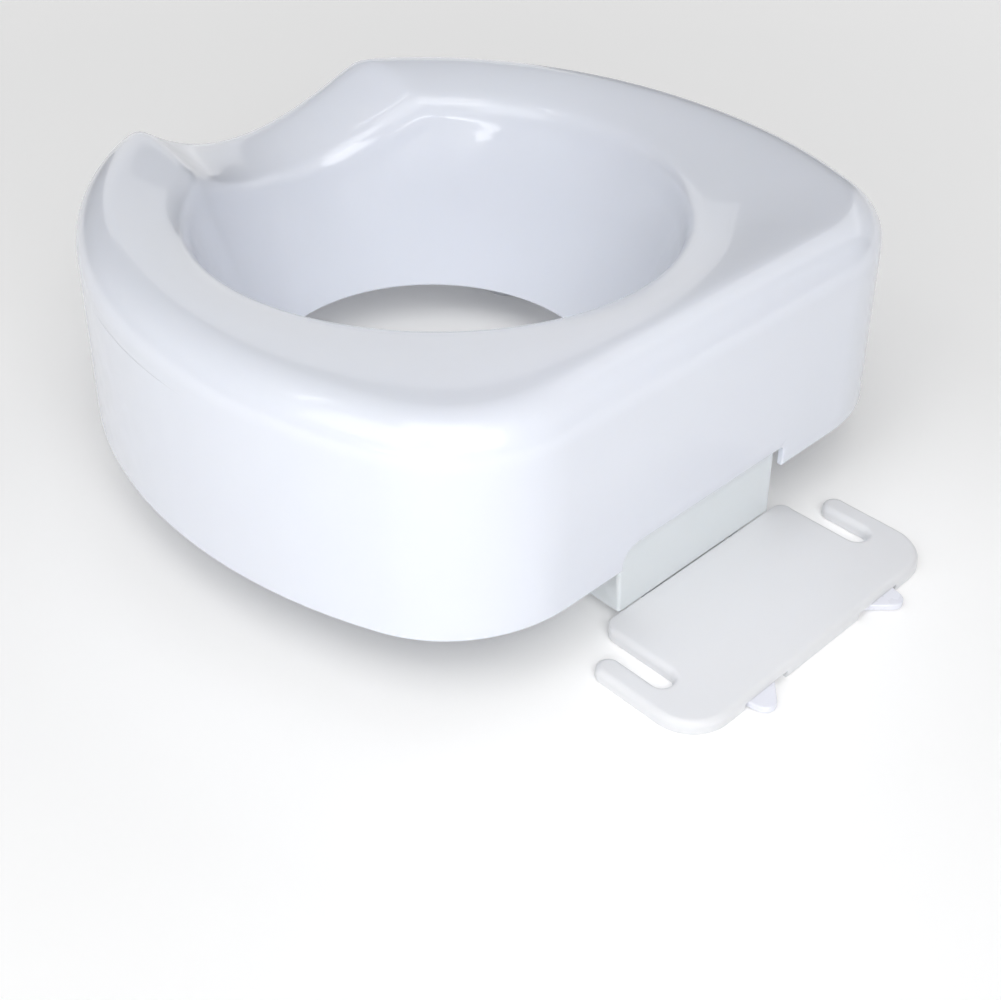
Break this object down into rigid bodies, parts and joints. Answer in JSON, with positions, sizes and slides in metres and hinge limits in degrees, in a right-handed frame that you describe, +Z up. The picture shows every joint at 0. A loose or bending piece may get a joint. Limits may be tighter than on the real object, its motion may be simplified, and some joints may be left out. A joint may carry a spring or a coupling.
{
  "type": "raised toilet seat",
  "caption": "White moulded raised toilet seat with an oval opening and a dipped front, on rubber pads, with a slotted lock-on bracket plate and sprung latch levers at the rear.",
  "frame": {"origin": "middle of the overall plan, on the plane where the pads and the bracket plate stand", "axes": "+Z up, +Y towards the bracket at the rear, +X towards the sitter's left"},
  "size_m": [0.375, 0.473, 0.146],
  "materials": {
    "seat_plastic": "glossy bluish white moulding",
    "receiver_plastic": "semi-gloss white moulding",
    "plate_plastic": "semi-gloss white moulding",
    "lever_plastic": "semi-gloss lavender white moulding",
    "steel": "zinc plated steel",
    "rubber": "matt light grey rubber"
  },
  "bodies": {
    "seat": {"seat_shell": "seat_plastic", "lock_receiver": "receiver_plastic", "rim_pad_front_left": "rubber", "rim_pad_front_right": "rubber", "rim_pad_rear_left": "rubber", "rim_pad_rear_right": "rubber", "rim_pad_screw_front_left": "steel", "rim_pad_screw_front_right": "steel", "rim_pad_screw_rear_left": "steel", "rim_pad_screw_rear_right": "steel", "receiver_screw_front_left": "steel", "receiver_screw_front_right": "steel", "receiver_screw_rear_left": "steel", "receiver_screw_rear_right": "steel"},
    "bracket": {"lock_plate": "plate_plastic", "lever_washer_left": "steel", "lever_washer_right": "steel", "lever_screw_left": "steel", "lever_screw_right": "steel", "latch_spring_left": "steel", "latch_spring_right": "steel"},
    "left_lever": {"latch_lever_left": "lever_plastic"},
    "right_lever": {"latch_lever_right": "lever_plastic"}
  },
  "joints": [
    {"name": "bracket_slide", "type": "slide", "parent": "seat", "child": "bracket", "axis": [0, 1, 0], "range_m": [0, 0.045]},
    {"name": "left_lever_pivot", "type": "hinge", "parent": "bracket", "child": "left_lever", "pos_m": [0.044, 0.196, 0.0028], "axis": [0, 0, 1], "range_deg": [0, 6], "stiffness_Nm_per_rad": 1.5, "springref_deg": -5.73, "deforming": ["latch_spring_left"]},
    {"name": "right_lever_pivot", "type": "hinge", "parent": "bracket", "child": "right_lever", "pos_m": [-0.044, 0.196, 0.0028], "axis": [0, 0, -1], "range_deg": [0, 6], "stiffness_Nm_per_rad": 1.5, "springref_deg": -5.73, "deforming": ["latch_spring_right"]}
  ]
}
